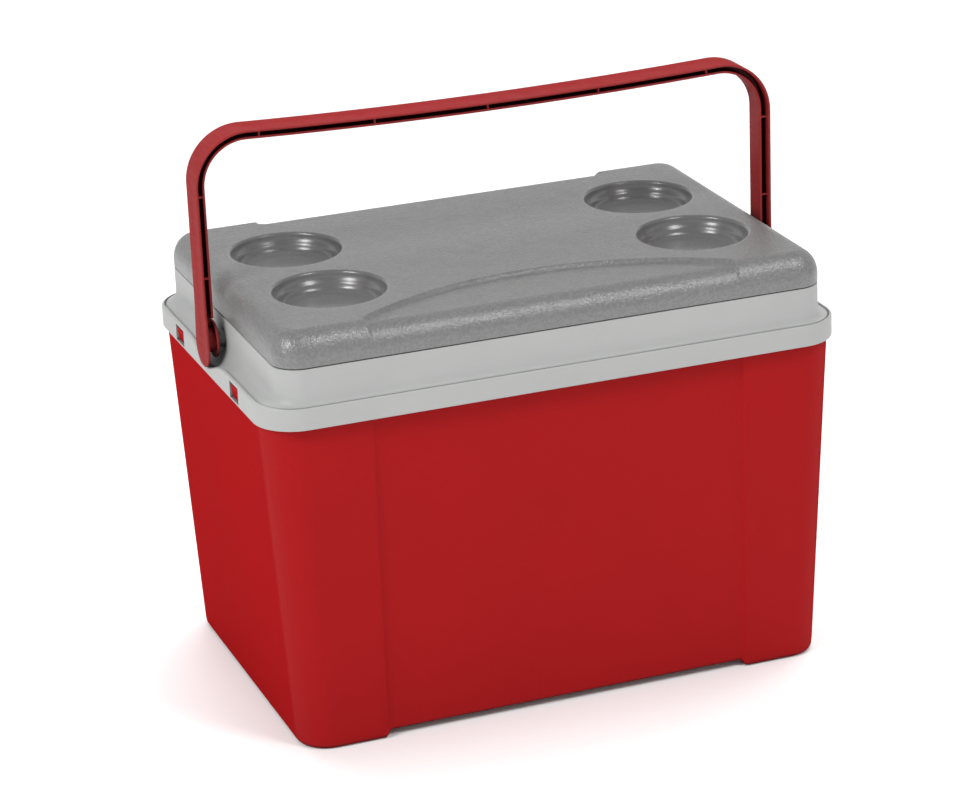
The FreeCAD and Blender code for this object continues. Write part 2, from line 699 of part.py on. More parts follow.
def handle_ribs():
    """Thin cross ribs between the two straps, evenly spaced along the bar and up both arms."""
    half_rib = "rib_half_thickness"
    thickness = half_rib + " + " + half_rib
    width = "strap_half_width + strap_half_width"
    under_bar = "handle_top - handle_depth - handle_depth"
    ribs = []
    for place in range(-2, 3):
        steps = " + ".join(["rib_spacing"] * abs(place)) or "gap - gap"
        middle = "0 - " + steps.replace("+", "-") if place < 0 else steps
        corner = (middle + " - " + half_rib, "- strap_half_width", under_bar)
        ribs.append(box("bar_rib_%d" % (place + 3), corner,
                        (thickness, width, "handle_depth + handle_depth")))
    for height in ("rib_low_height", "rib_high_height"):
        arm_rib = box("arm_" + height, ("arm_outer - handle_depth - wall", "- strap_half_width", height),
                      ("handle_depth + wall + wall", width, thickness))
        ribs += both_ends(arm_rib)
    envelope = bail_band("rib_envelope", "", " - handle_depth", "inner_strap_width", "inner_strap_end")
    common = doc.addObject("Part::MultiCommon", "handle_ribs")
    common.Shapes = [envelope, join("rib_plates", *ribs)]
    return common


straps = [
    bail_band("outer_strap", "", " - strap_thickness", "strap_half_width + strap_half_width",
              "inner_strap_end"),
    bail_band("web", "", " - handle_depth", "web_thickness", "pivot_height"),
    bail_band("inner_strap", " - handle_depth + strap_thickness", " - handle_depth", "inner_strap_width",
              "inner_strap_end"),
]
hubs = both_ends(cylinder_along_x("hub", "arm_outer - handle_depth", "handle_depth - gap",
                                  "boss_radius + eye_clearance + eye_wall"))
eyes = both_ends(cylinder_along_x("eye", "arm_outer - handle_depth - wall",
                                  "handle_depth - strap_thickness + wall", "boss_radius + eye_clearance"))
flanges = both_ends(cylinder_along_x("flange", "arm_outer - handle_depth - flange_thickness",
                                     "flange_thickness + gap", "flange_radius"))
handle_solid = join("handle_solid", *straps, *both_ends(arm_tip()), *hubs, *flanges, handle_ribs())
bail_handle = cut("bail_handle", handle_solid, join("eyes", *eyes))


# ---- finished pieces -----------------------------------------------------------------------------------

PIECES = [outer_shell, rim_collar, inner_liner, body_foam, lid_cover, lid_base, lid_foam, bail_handle]
doc.recompute()
for item in doc.Objects:
    if "Invalid" in item.State or "Error" in item.State:
        raise RuntimeError("%s failed: %s" % (item.Name, item.getStatusString()))
for piece in PIECES:
    shape = piece.Shape
    if shape.isNull() or not shape.isValid() or len(shape.Solids) != 1:
        raise RuntimeError(piece.Label + " is not one valid solid")
for piece in PIECES:
    piece.Shape.exportStep("parts/%s.step" % piece.Label)
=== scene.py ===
"""A picnic cooler chest with a swing handle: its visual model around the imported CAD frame."""

import json
import math

import bmesh
import bpy
import numpy as np
from mathutils import Matrix, Vector
from mathutils.geometry import delaunay_2d_cdt


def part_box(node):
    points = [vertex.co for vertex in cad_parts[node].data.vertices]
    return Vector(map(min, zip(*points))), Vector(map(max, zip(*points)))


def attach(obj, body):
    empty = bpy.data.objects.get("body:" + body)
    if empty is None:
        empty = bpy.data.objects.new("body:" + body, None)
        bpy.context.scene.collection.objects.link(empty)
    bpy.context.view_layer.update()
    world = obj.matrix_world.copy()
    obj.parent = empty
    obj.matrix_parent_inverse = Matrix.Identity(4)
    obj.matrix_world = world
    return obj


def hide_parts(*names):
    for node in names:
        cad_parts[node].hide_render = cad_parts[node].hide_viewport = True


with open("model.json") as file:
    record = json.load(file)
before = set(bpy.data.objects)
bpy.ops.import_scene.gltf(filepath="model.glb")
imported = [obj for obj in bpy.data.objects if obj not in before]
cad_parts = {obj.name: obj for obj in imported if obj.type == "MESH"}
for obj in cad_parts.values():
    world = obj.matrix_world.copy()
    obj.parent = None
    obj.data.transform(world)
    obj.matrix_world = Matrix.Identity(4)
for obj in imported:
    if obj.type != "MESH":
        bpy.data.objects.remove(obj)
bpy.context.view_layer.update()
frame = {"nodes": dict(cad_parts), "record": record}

MM = 0.001


# ---- sizes, in millimetres, taken from the frame where it gives them ------------------------------------

def span(node):
    """A node's lowest and highest corner in millimetres."""
    low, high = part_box(node)
    return [value / MM for value in low], [value / MM for value in high]


LIP_X, LIP_Y, COLLAR_TOP = span("rim_collar")[1]
LIP_BOTTOM = span("rim_collar")[0][2]
LID_X, LID_Y, LID_TOP = span("lid_cover")[1]
ARM_X, _, HANDLE_TOP = span("bail_handle")[1]
SHELL_Y = span("outer_shell")[1][1]
PIVOT_Z = next(joint["pos_m"][2] for joint in frame["record"]["behaviour"]["joints"]
               if joint["name"] == "handle_swing") / MM

# Rounded rectangles in plan: half length, half width and corner radius.
BASE = (212.4, 141.5, 25.0)
RIM = (227.1, 142.4, 26.0)
LIP = (LIP_X, LIP_Y, 33.0)
BAND = (LID_X, LID_Y, 21.0)
SEAT_WALL = (205.6, 133.6, 13.6)
SEAT_OPENING = (198.0, 125.0, 22.0)

WALL = 2.4
# Past this distance along X, a point of a ring belongs to one of the chest's ends.
END_X = 190.0


# ---- mesh helpers ---------------------------------------------------------------------------------------

def smooth_step(value, start, end):
    """0 before start, 1 after end and a smooth rise between them."""
    t = np.clip((np.asarray(value, float) - start) / (end - start), 0.0, 1.0)
    return t * t * (3 - 2 * t)


def inset(outline, amount):
    """A rounded rectangle moved inwards on every side."""
    half_length, half_width, corner = outline
    return half_length - amount, half_width - amount, max(corner - amount, 0.5)


def between(first, second, share):
    """A rounded rectangle part of the way from one to another."""
    return tuple(a + (b - a) * share for a, b in zip(first, second))


class Rim:
    """Rings of points round rounded rectangles, with the same count and order in every ring."""

    def __init__(self, xs, ys, corner_steps):
        self.xs = sorted(xs)
        self.ys = sorted(ys)
        self.corner_steps = corner_steps

    def ring(self, outline, height):
        """One ring: the four sides at the shared places, and a corner arc after each."""
        half_x, half_y, corner = outline
        cx, cy = half_x - corner, half_y - corner
        points = []
        sides = [
            [(half_x, y) for y in [-cy] + self.ys + [cy]],
            [(x, half_y) for x in [cx] + self.xs[::-1] + [-cx]],
            [(-half_x, y) for y in [cy] + self.ys[::-1] + [-cy]],
            [(x, -half_y) for x in [-cx] + self.xs + [cx]],
        ]
        centres = [(cx, cy), (-cx, cy), (-cx, -cy), (cx, -cy)]
        for turn, (side, centre) in enumerate(zip(sides, centres)):
            points += side
            for step in range(1, self.corner_steps):
                angle = math.pi / 2 * (turn + step / self.corner_steps)
                points.append((centre[0] + corner * math.cos(angle), centre[1] + corner * math.sin(angle)))
        flat = np.array(points)
        return np.column_stack([flat, np.full(len(flat), float(height))])


def stack(rings, closed=False):
    """Quads between rings that have the same number of points."""
    size = len(rings[0])
    faces = []
    for row in range(len(rings) if closed else len(rings) - 1):
        low, high = row * size, (row + 1) % len(rings) * size
        for step in range(size):
            after = (step + 1) % size
            faces.append((low + step, low + after, high + after, high + step))
    return np.concatenate(rings), faces


def plan_fill(outline, extra, holes=()):
    """Triangles that fill a plan outline and use the extra points; holes are (x, y, radius, ring)."""
    points, edges = [], []
    for loop in [outline] + [hole[3] for hole in holes]:
        first = len(points)
        points += [tuple(p[:2]) for p in loop]
        edges += [(first + i, first + (i + 1) % len(loop)) for i in range(len(loop))]
    points += [tuple(p) for p in extra]
    made, _, faces, _, _, _ = delaunay_2d_cdt([Vector(p) for p in points], edges, [], 1, 1e-5)
    flat = np.array([tuple(v) for v in made])
    kept = []
    for face in faces:
        centre = flat[list(face)].mean(axis=0)
        if all(math.hypot(centre[0] - x, centre[1] - y) > radius * 0.999 for x, y, radius, _ in holes):
            kept.append(tuple(face))
    return flat, kept


def make_mesh(name, parts, materials, sharp=32.0):
    """One mesh object from (points in mm, faces, material index) parts, welded, with normals outwards."""
    work = bmesh.new()
    for points, faces, slot in parts:
        made = [work.verts.new(Vector(p) * MM) for p in points]
        for face in faces:
            try:
                work.faces.new([made[i] for i in face]).material_index = slot
            except ValueError:
                continue  # a face with a repeated corner, or one that is already there
    bmesh.ops.remove_doubles(work, verts=work.verts, dist=0.002 * MM)
    bmesh.ops.dissolve_degenerate(work, edges=work.edges, dist=0.001 * MM)
    bmesh.ops.recalc_face_normals(work, faces=work.faces)
    mesh = bpy.data.meshes.new(name)
    work.to_mesh(mesh)
    work.free()
    mesh.shade_smooth()
    mesh.set_sharp_from_angle(angle=math.radians(sharp))
    for material in materials:
        mesh.materials.append(material)
    item = bpy.data.objects.new(name, mesh)
    bpy.context.scene.collection.objects.link(item)
    return item


def place(item, body, slot, *nodes):
    """The piece rides on a body and stands for its CAD nodes, which are hidden; slot is not used."""
    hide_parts(*nodes)
    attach(item, body)
    return item


def even(low, high, count):
    """Evenly spaced numbers from low to high."""
    return list(np.linspace(low, high, count))


def quarter(start, end, count):
    """(sine, cosine) pairs at even angles from start to end degrees, to round an edge."""
    angles = [math.radians(angle) for angle in even(start, end, count)]
    return [(math.sin(angle), math.cos(angle)) for angle in angles]


def mirrored(values):
    """The values and their negatives, in order and without repeats."""
    return sorted({round(v, 4) for v in values} | {round(-v, 4) for v in values})


def turned(profile, centre, steps, axis="z", cap_start=False, cap_end=False):
    """A profile of (radius, height) points turned about an axis through centre."""
    rings = []
    for radius, height in profile:
        ring = []
        for step in range(steps):
            angle = 2 * math.pi * step / steps
            a, b = radius * math.cos(angle), radius * math.sin(angle)
            if axis == "z":
                ring.append((centre[0] + a, centre[1] + b, height))
            else:
                ring.append((height, centre[0] + a, centre[1] + b))
        rings.append(np.array(ring))
    points, faces = stack(rings)
    if cap_start:
        faces.append(tuple(range(steps)))
    if cap_end:
        faces.append(tuple(range(len(points) - steps, len(points))))
    return points, faces


# ---- materials ------------------------------------------------------------------------------------------

# Sizes of the patterns that every moulded piece shares, in millimetres; the first is how far the painted
# shade in hollows reaches.
PAINTED_SHADE_REACH, MOTTLE_SIZE, WEAR_SIZE, SCRATCH_SIZE = 16.0, 70.0, 9.0, 14.0


def moulded_plastic(name, colour, roughness, grain_size, grain_depth, edge=0.25, mottle=0.05,
                    speckle=0.0, scuff=0.06, specular=0.5, grazing=1.0, painted_shade=0.6):
    """Injection-moulded plastic: fine skin grain, faint mottling, scuffs, paler worn edges, and painted shade
    that darkens crevices, hollows and gaps between parts.

    specular is the gloss of a surface seen head on, and grazing the share of it left where it turns away.
    """
    material = bpy.data.materials.new(name)
    material.use_nodes = True
    nodes, links = material.node_tree.nodes, material.node_tree.links
    nodes.clear()
    output = nodes.new("ShaderNodeOutputMaterial")
    shader = nodes.new("ShaderNodeBsdfPrincipled")
    links.new(shader.outputs["BSDF"], output.inputs["Surface"])
    coords = nodes.new("ShaderNodeTexCoord")
    position = coords.outputs["Object"]

    def noise(size_mm, detail, rough=0.5):
        node = nodes.new("ShaderNodeTexNoise")
        node.inputs["Scale"].default_value = 1.0 / (size_mm * MM)
        node.inputs["Detail"].default_value = detail
        node.inputs["Roughness"].default_value = rough
        links.new(position, node.inputs["Vector"])
        return node.outputs["Fac"]

    def math_node(kind, first, second, clamp=False):
        node = nodes.new("ShaderNodeMath")
        node.operation = kind
        node.use_clamp = clamp
        for socket, value in zip(node.inputs, (first, second)):
            if isinstance(value, (int, float)):
                socket.default_value = value
            else:
                links.new(value, socket)
        return node.outputs[0]

    def mix_colour(factor, first, second):
        node = nodes.new("ShaderNodeMix")
        node.data_type = "RGBA"
        for socket, value in ((node.inputs[0], factor), (node.inputs[6], first), (node.inputs[7], second)):
            if isinstance(value, (tuple, float, int)):
                socket.default_value = value
            else:
                links.new(value, socket)
        return node.outputs[2]

    def remap(value, low, high, new_low, new_high):
        node = nodes.new("ShaderNodeMapRange")
        for socket, number in zip(node.inputs[1:5], (low, high, new_low, new_high)):
            socket.default_value = number
        links.new(value, node.inputs[0])
        return node.outputs[0]

    def tone(factor):
        return tuple(min(1.0, c * factor) for c in colour) + (1.0,)

    shader.inputs["Specular IOR Level"].default_value = specular
    if grazing != 1.0:
        facing = nodes.new("ShaderNodeLayerWeight")
        facing.inputs["Blend"].default_value = 0.5
        links.new(remap(facing.outputs["Facing"], 0.3, 0.75, specular, specular * grazing),
                  shader.inputs["Specular IOR Level"])
    broad = remap(noise(MOTTLE_SIZE, 3.0), 0.3, 0.7, 0.0, 1.0)
    base = mix_colour(broad, tone(1 - mottle), tone(1 + mottle))
    cells = noise(grain_size, 2.0, 0.6)
    fine = noise(grain_size * 0.45, 1.0, 0.5)
    if speckle:
        spots = remap(cells, 0.38, 0.62, 0.0, speckle)
        base = mix_colour(spots, base, tone(1.45))
    pointy = nodes.new("ShaderNodeNewGeometry").outputs["Pointiness"]
    worn = remap(pointy, 0.515, 0.60, 0.0, 1.0)
    patchy = remap(noise(WEAR_SIZE, 4.0, 0.65), 0.42, 0.62, 0.15, 1.0)
    wear = math_node("MULTIPLY", math_node("MULTIPLY", worn, patchy), edge, clamp=True)
    pale = tuple(c + (0.8 - c) * 0.22 for c in colour) + (1.0,)
    # Painted shade: an ambient-occlusion mask mixes the colour towards near-black in crevices, hollows and
    # gaps between parts, where shade falls.
    shade_occlusion = nodes.new("ShaderNodeAmbientOcclusion")
    shade_occlusion.inputs["Distance"].default_value = PAINTED_SHADE_REACH * MM
    shade_occlusion.samples = 8
    painted_shade_mask = remap(shade_occlusion.outputs["AO"], 0.15, 0.62, painted_shade, 0.0)
    links.new(mix_colour(painted_shade_mask, mix_colour(wear, base, pale), tone(0.06)), shader.inputs["Base Color"])
    streak = nodes.new("ShaderNodeMapping")
    streak.inputs["Scale"].default_value = (1.0, 1.0, 9.0)
    streak.inputs["Rotation"].default_value = (0.35, 0.2, 0.6)
    links.new(position, streak.inputs["Vector"])
    scratches = nodes.new("ShaderNodeTexNoise")
    scratches.inputs["Scale"].default_value = 1.0 / (SCRATCH_SIZE * MM)
    scratches.inputs["Detail"].default_value = 6.0
    links.new(streak.outputs["Vector"], scratches.inputs["Vector"])
    scuffed = remap(scratches.outputs["Fac"], 0.35, 0.7, -scuff, scuff)
    uneven = math_node("ADD", remap(broad, 0.0, 1.0, roughness - 0.03, roughness + 0.03), scuffed)
    rougher = math_node("ADD", uneven, math_node("MULTIPLY", wear, 0.12), clamp=True)
    links.new(rougher, shader.inputs["Roughness"])
    height = math_node("ADD", cells, math_node("MULTIPLY", fine, 0.45))
    bump = nodes.new("ShaderNodeBump")
    bump.inputs["Strength"].default_value = 1.0
    bump.inputs["Distance"].default_value = grain_depth * MM
    links.new(height, bump.inputs["Height"])
    links.new(bump.outputs["Normal"], shader.inputs["Normal"])
    return material


shell_red = moulded_plastic("shell_red", (0.305, 0.0070, 0.0082), 0.5, 1.1, 0.035, edge=0.3, mottle=0.025,
                            scuff=0.03, specular=0.05, grazing=0.01)
handle_red = moulded_plastic("handle_red", (0.235, 0.0185, 0.0195), 0.42, 0.9, 0.03, edge=0.25, mottle=0.03,
                             specular=0.1, grazing=0.05, painted_shade=0.95)
collar_grey = moulded_plastic("collar_grey", (0.35, 0.355, 0.35), 0.45, 1.0, 0.03, edge=0.25, mottle=0.03,
                              specular=0.35, grazing=0.25, painted_shade=0.95)
lid_grained = moulded_plastic("lid_grey_grained", (0.112, 0.112, 0.112), 0.34, 2.1, 0.5, edge=0.1,
                              mottle=0.03, speckle=0.6, scuff=0.03, specular=1.0, painted_shade=0.3)
lid_smooth = moulded_plastic("lid_grey_smooth", (0.115, 0.115, 0.115), 0.26, 1.2, 0.02, edge=0.1, mottle=0.03,
                             scuff=0.02, specular=0.7, painted_shade=0.3)
liner_white = moulded_plastic("liner_white", (0.78, 0.78, 0.76), 0.35, 1.0, 0.03, mottle=0.02, painted_shade=0.3)
foam_grain = moulded_plastic("foam_beads", (0.80, 0.79, 0.75), 0.8, 3.5, 0.5, edge=0.1, speckle=0.2,
                             painted_shade=0.3)

for node, finish in (("inner_liner", liner_white), ("lid_base", liner_white), ("body_foam", foam_grain),
                     ("lid_foam", foam_grain)):
    for slot in frame["nodes"][node].material_slots:
        slot.material = finish


# ---- outer shell ----------------------------------------------------------------------------------------

PANEL_X, PANEL_DEPTH, FOOT_HEIGHT, FOOT_ROUND = 146.0, 2.5, 4.5, 4.5
PANEL_EDGE = 2.8
SHELL_HEIGHT, SHELL_TOP, INSIDE_FLOOR = 270.0, 269.0, 6.0
# The collar dips under each arm of the handle, and the shell's top edge follows most of the way.
DIP_DEPTH, DIP_WIDTH, SHELL_DIP = 11.0, 25.4, 0.8
WINDOW_Y, WINDOW_HALF, WINDOW_LOW, WINDOW_HIGH = 71.0, 10.5, 260.4, 273.4
HOOK_HALF, HOOK_SHIFT = 7.5, 1.5


def arm_dip(y):
    """How far the collar's ledge and lip dip at an arm, at a distance y from its middle."""
    return DIP_DEPTH * np.exp(-(np.asarray(y, float) / DIP_WIDTH) ** 2)


def in_panel(x):
    """1 over the sunk middle panel, 0 past its edges and a smooth step between."""
    return 1 - smooth_step(np.abs(x), PANEL_X - PANEL_EDGE, PANEL_X + PANEL_EDGE)


panel_steps = [PANEL_X + offset for offset in (-5.0, -2.8, -1.9, -0.95, 0.0, 0.95, 1.9, 2.8, 5.0)]
shell_xs = mirrored(even(0, 132, 12) + panel_steps + [160, 174])
shell_ys = mirrored(even(0, 60, 13) + [72, 84, 96, 106])
shell_rim = Rim(shell_xs, shell_ys, 14)


def shell_ring(share, height, shrink=0.0, lift=1.0, dip=0.0):
    """A ring of the shell at a share of its height, its panels sunk and its base lifted between the feet."""
    ring = shell_rim.ring(inset(between(BASE, RIM, share), shrink), height)
    sunk = in_panel(ring[:, 0]) * PANEL_DEPTH
    side = np.abs(ring[:, 1]) > SHELL_Y - 20 - shrink
    ring[:, 1] -= np.where(side, np.sign(ring[:, 1]) * sunk, 0)
    ring[:, 2] += in_panel(ring[:, 0]) * FOOT_HEIGHT * lift
    at_end = np.abs(ring[:, 0]) > END_X
    ring[:, 2] -= np.where(at_end, dip * arm_dip(ring[:, 1]), 0)
    return ring


outer_rows = []
for sine, cosine in quarter(0, 90, 8):
    outer_rows.append(shell_ring(0.0, FOOT_ROUND * (1 - cosine), FOOT_ROUND * (1 - sine)))
for height in (8, 14, 22, 34, 60, 100, 140, 180, 220, 246, 256, 262, 266):
    outer_rows.append(shell_ring(height / SHELL_HEIGHT, height, lift=1 - float(smooth_step(height, 14, 100)),
                                 dip=float(smooth_step(height, 240, SHELL_TOP)) * SHELL_DIP))
for drop, shrink in ((0.7, 0.0), (0.0, 0.7), (0.0, WALL)):
    outer_rows.append(shell_ring(SHELL_TOP / SHELL_HEIGHT, SHELL_TOP - drop, shrink, 0.0, SHELL_DIP))
for height in (240, 180, 120, 60, 20, INSIDE_FLOOR):
    outer_rows.append(shell_ring(height / SHELL_HEIGHT, height, WALL, 1.0 if height < 30 else 0.0,
                                 SHELL_DIP * float(smooth_step(height, 200, SHELL_TOP))))
shell_parts = [stack(outer_rows) + (0,)]


def base_cap(ring, level):
    """The shell's bottom inside a ring: flat under the corners and lifted between the feet."""
    lines = [(sign * x, y) for x in panel_steps for sign in (-1, 1) for y in even(-120, 120, 13)]
    spread = [(x, y) for x in even(-120, 120, 9) for y in even(-110, 110, 9)]
    flat, faces = plan_fill(ring, lines + spread)
    heights = level + in_panel(flat[:, 0]) * FOOT_HEIGHT
    return np.column_stack([flat, heights]), faces, 0


shell_parts.append(base_cap(outer_rows[0], 0.0))
shell_parts.append(base_cap(outer_rows[-1], INSIDE_FLOOR))


def snap_hook(sign_x, sign_y):
    """A moulded wedge-shaped hook that stands out through a window of the collar."""
    profile = [(224.0, 258.9), (227.2, 258.9), (227.7, 260.6), (228.2, 262.0), (229.5, 268.2), (229.7, 269.6),
               (229.5, 270.6), (228.8, 271.3), (227.6, 271.7), (224.0, 271.9)]
    centre = np.mean(profile, axis=0)
    rings = []
    for across, shrink in ((-1.0, 0.12), (-0.95, 0.05), (-0.85, 0.0), (0.85, 0.0), (0.95, 0.05), (1.0, 0.12)):
        rings.append(np.array([(sign_x * (x + (centre[0] - x) * shrink),
                                sign_y * WINDOW_Y + HOOK_SHIFT + across * HOOK_HALF,
                                z + (centre[1] - z) * shrink) for x, z in profile]))
    points, faces = stack(rings)
    faces.append(tuple(range(len(profile))))
    faces.append(tuple(range(len(points) - len(profile), len(points))))
    return points, faces, 0


for sign_x in (-1, 1):
    for sign_y in (-1, 1):
        shell_parts.append(snap_hook(sign_x, sign_y))
shell = make_mesh("shell", shell_parts, [shell_red])
place(shell, "chest", "shell_red", "outer_shell")


# ---- rim collar -----------------------------------------------------------------------------------------

LEDGE, SHOULDER_HIGH, SHOULDER_SHARE = 275.9, 8.0, 0.66
BAND_ROUND, LIP_ROUND, LIP_FOOT_ROUND = 1.1, 1.7, 0.8
# The share of the dip that reaches the windows' lower edge, and how far the seat lies below the rim.
LOW_DIP, SEAT_DEPTH = 0.03, 3.8
collar_ys = mirrored(even(0, 48, 17) + [54, WINDOW_Y - WINDOW_HALF, WINDOW_Y, WINDOW_Y + WINDOW_HALF, 90, 99])
collar_rim = Rim(mirrored(even(0, 165, 12)), collar_ys, 16)


def collar_ring(outline, height, dip=0.0):
    """A ring of the collar, lowered under the arms by a share of the full dip."""
    ring = collar_rim.ring(outline, height)
    at_end = np.abs(ring[:, 0]) > END_X
    ring[:, 2] -= np.where(at_end, dip * arm_dip(ring[:, 1]), 0)
    return ring


SEAT_Z = COLLAR_TOP - SEAT_DEPTH
collar_rows = [
    collar_ring(SEAT_OPENING, SEAT_Z - WALL),
    collar_ring(SEAT_OPENING, SEAT_Z - 0.5),
    collar_ring(inset(SEAT_OPENING, -0.5), SEAT_Z),
    collar_ring(inset(SEAT_WALL, 0.5), SEAT_Z),
    collar_ring(SEAT_WALL, SEAT_Z + 0.5),
    collar_ring(SEAT_WALL, COLLAR_TOP - 0.8),
    collar_ring(inset(SEAT_WALL, -0.25), COLLAR_TOP - 0.25),
    collar_ring(inset(SEAT_WALL, -0.8), COLLAR_TOP),
]
for sine, cosine in quarter(90, 0, 6):
    collar_rows.append(collar_ring(inset(BAND, BAND_ROUND * (1 - cosine)),
                                   COLLAR_TOP - BAND_ROUND * (1 - sine)))
for height in (298.0, 292.0, 287.0):
    collar_rows.append(collar_ring(BAND, height))
for sine, cosine in quarter(0, 90, 9):
    collar_rows.append(collar_ring(between(BAND, LIP, SHOULDER_SHARE * (1 - cosine)),
                                   LEDGE + SHOULDER_HIGH * (1 - sine), sine ** 1.5))
# A shallow groove along the ledge, then flat to the rounded lip.
for share, sink in ((0.70, 0.9), (0.745, 1.5), (0.79, 0.9), (0.83, 0.0), (0.88, 0.0)):
    collar_rows.append(collar_ring(between(BAND, LIP, share), LEDGE - sink, 1.0))
for sine, cosine in quarter(70, 0, 6):
    collar_rows.append(collar_ring(inset(LIP, LIP_ROUND * (1 - cosine)), LEDGE - LIP_ROUND * (1 - sine), 1.0))
first_window_row = len(collar_rows)
collar_rows.append(collar_ring(LIP, WINDOW_HIGH, 1.0))
collar_rows.append(collar_ring(LIP, WINDOW_LOW, LOW_DIP))
for sine, cosine in quarter(0, 90, 5):
    collar_rows.append(collar_ring(inset(LIP, LIP_FOOT_ROUND * (1 - cosine)),
                                   LIP_BOTTOM + LIP_FOOT_ROUND * (1 - sine)))
collar_rows.append(collar_ring(inset(LIP, WALL), LIP_BOTTOM))
second_window_row = len(collar_rows)
collar_rows.append(collar_ring(inset(LIP, WALL), WINDOW_LOW, LOW_DIP))
collar_rows.append(collar_ring(inset(LIP, WALL), WINDOW_HIGH, 1.0))
collar_rows.append(collar_ring(between(BAND, inset(LIP, WALL), 0.4), LEDGE - WALL, 1.0))
collar_rows.append(collar_ring(inset(BAND, WALL), LEDGE - WALL + 3.0, 0.6))
collar_rows.append(collar_ring(inset(BAND, WALL), COLLAR_TOP - WALL))
collar_rows.append(collar_ring(inset(SEAT_WALL, -WALL), COLLAR_TOP - WALL))
collar_rows.append(collar_ring(inset(SEAT_WALL, -WALL), SEAT_Z - WALL))
collar_points, collar_faces = stack(collar_rows, closed=True)


def window_columns():
    """Pairs of ring positions at the sides of each window, for the four windows."""
    base = collar_rows[first_window_row]
    found = []
    for sign_x in (-1, 1):
        for sign_y in (-1, 1):
            places = [i for i, (x, y, _) in enumerate(base) if abs(x - sign_x * LIP_X) < 0.01
                      and WINDOW_HALF + 0.01 > abs(y - sign_y * WINDOW_Y)]
            found.append((min(places), max(places)))
    return found


# The windows: their faces come out of both walls of the lip, and four sides join the walls instead.
ring_size = len(collar_rows[0])
window_faces = set()
bridges = []
for start, end in window_columns():
    outer_high, outer_low = first_window_row * ring_size, (first_window_row + 1) * ring_size
    inner_low, inner_high = second_window_row * ring_size, (second_window_row + 1) * ring_size
    for i in range(start, end):
        window_faces.add((outer_high + i, outer_high + i + 1, outer_low + i + 1, outer_low + i))
        window_faces.add((inner_low + i, inner_low + i + 1, inner_high + i + 1, inner_high + i))
        bridges.append((outer_high + i, outer_high + i + 1, inner_high + i + 1, inner_high + i))
        bridges.append((outer_low + i, outer_low + i + 1, inner_low + i + 1, inner_low + i))
    for i in (start, end):
        bridges.append((outer_high + i, outer_low + i, inner_low + i, inner_high + i))
collar_faces = [face for face in collar_faces if face not in window_faces] + bridges
collar_parts = [(collar_points, collar_faces, 0)]
BOSS_RADIUS, BOSS_END = 7.0, 229.8
for sign in (-1, 1):
    boss = [(BOSS_RADIUS, sign * (LID_X - WALL)), (BOSS_RADIUS, sign * (BOSS_END - 1.0)),
            (BOSS_RADIUS - 0.3, sign * (BOSS_END - 0.3)), (BOSS_RADIUS - 1.0, sign * BOSS_END)]
    collar_parts.append(turned(boss, (0.0, PIVOT_Z), 48, axis="x", cap_start=True, cap_end=True) + (0,))
collar = make_mesh("collar", collar_parts, [collar_grey])
place(collar, "chest", "collar_grey", "rim_collar")


# ---- lid cover ------------------------------------------------------------------------------------------

ARCH_HALF, ARCH_BACK, ARCH_RADIUS, ARCH_DEPTH, ARCH_SLOPE = 147.0, 77.5, 249.0, 3.0, 4.2
CUP_X, CUP_Y, CUP_RIM = 146.6, 52.5, 44.8
EDGE_IN, EDGE_DOWN, LID_FOOT_ROUND = 16.0, 19.0, 1.0
LID_LOW = COLLAR_TOP + 0.5
CEILING = LID_TOP - 17.5


def arch_depth(x, y):
    """How far the lid's top lies lower at a point, inside the arched recesses at its front and back edges."""
    centre = ARCH_BACK + ARCH_RADIUS
    inside = ARCH_RADIUS - np.hypot(x, np.abs(y) - centre)
    reach = np.minimum(inside, ARCH_HALF - np.abs(x))
    return ARCH_DEPTH * smooth_step(reach, 0.0, ARCH_SLOPE)


arch_steps = (-1.2, 0.0, 0.5, 1.2, 2.1, 3.0, 3.7, 4.2, 5.4)
lid_xs = mirrored(even(0, 132, 14) + [ARCH_HALF - step for step in arch_steps] + [160, 174])
lid_ys = mirrored(even(0, 110, 12))
lid_rim = Rim(lid_xs, lid_ys, 14)


def lid_ring(shrink, drop):
    """A ring of the lid's edge; drop is how far it is below the top, less where the top is sunk."""
    ring = lid_rim.ring(inset(BAND, shrink), 0)
    top = LID_TOP - arch_depth(ring[:, 0], ring[:, 1])
    share = (top - (LID_TOP - EDGE_DOWN)) / EDGE_DOWN
    ring[:, 2] = np.where(drop < EDGE_DOWN, top - drop * share, LID_TOP - drop)
    return ring


lid_rows = []
for sine, cosine in quarter(0, 90, 14):
    lid_rows.append(lid_ring(EDGE_IN * (1 - sine), EDGE_DOWN * (1 - cosine)))
for height in (LID_LOW + 4.0, LID_LOW + 1.6):
    lid_rows.append(lid_ring(0.0, LID_TOP - height))
for sine, cosine in quarter(15, 90, 5):
    lid_rows.append(lid_ring(LID_FOOT_ROUND * (1 - cosine), LID_TOP - LID_LOW - LID_FOOT_ROUND * (1 - sine)))
lid_rows.append(lid_rim.ring(inset(BAND, WALL), LID_LOW))
lid_rows.append(lid_rim.ring(inset(BAND, WALL), CEILING))
lid_parts = [stack(lid_rows) + (0,)]

ceiling_flat, ceiling_faces = plan_fill(lid_rows[-1], [])
lid_parts.append((np.column_stack([ceiling_flat, np.full(len(ceiling_flat), CEILING)]), ceiling_faces, 0))

CUP_STEPS = 96
cup_centres = [(sx * CUP_X, sy * CUP_Y) for sx in (-1, 1) for sy in (-1, 1)]


def circle(centre, radius):
    """Points round a circle, one for each step of a cup recess."""
    angles = [2 * math.pi * i / CUP_STEPS for i in range(CUP_STEPS)]
    return [(centre[0] + radius * math.cos(a), centre[1] + radius * math.sin(a)) for a in angles]


